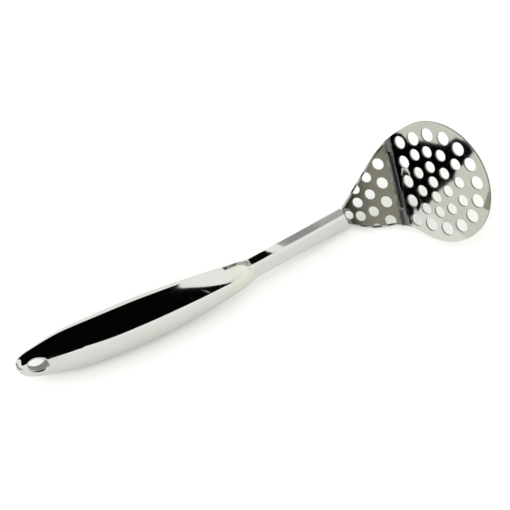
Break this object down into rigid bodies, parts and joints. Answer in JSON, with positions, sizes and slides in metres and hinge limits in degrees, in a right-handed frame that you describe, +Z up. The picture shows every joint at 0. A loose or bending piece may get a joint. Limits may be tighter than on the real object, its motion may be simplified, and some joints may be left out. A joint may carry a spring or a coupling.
{
  "type": "potato masher",
  "caption": "Stainless steel hand masher: a perforated round plate folded up from a fan-shaped neck on a hollow shank, with a pod-shaped hollow grip that has a hanging hole.",
  "frame": {"origin": "under the middle of the whole masher, on the surface it lies on", "axes": "+Z up from the surface; +X along the tool, from the grip towards the plate"},
  "size_m": [0.3074, 0.0942, 0.067],
  "materials": {
    "polished_steel": "mirror-polished stainless steel",
    "satin_steel": "polished and lightly brushed stainless sheet",
    "weld_steel": "weld ground and buffed"
  },
  "bodies": {
    "root": {"perforated_head": "satin_steel", "shank": "polished_steel", "weld_collar": "weld_steel", "grip_upper_shell": "polished_steel", "grip_lower_shell": "polished_steel"}
  },
  "joints": []
}
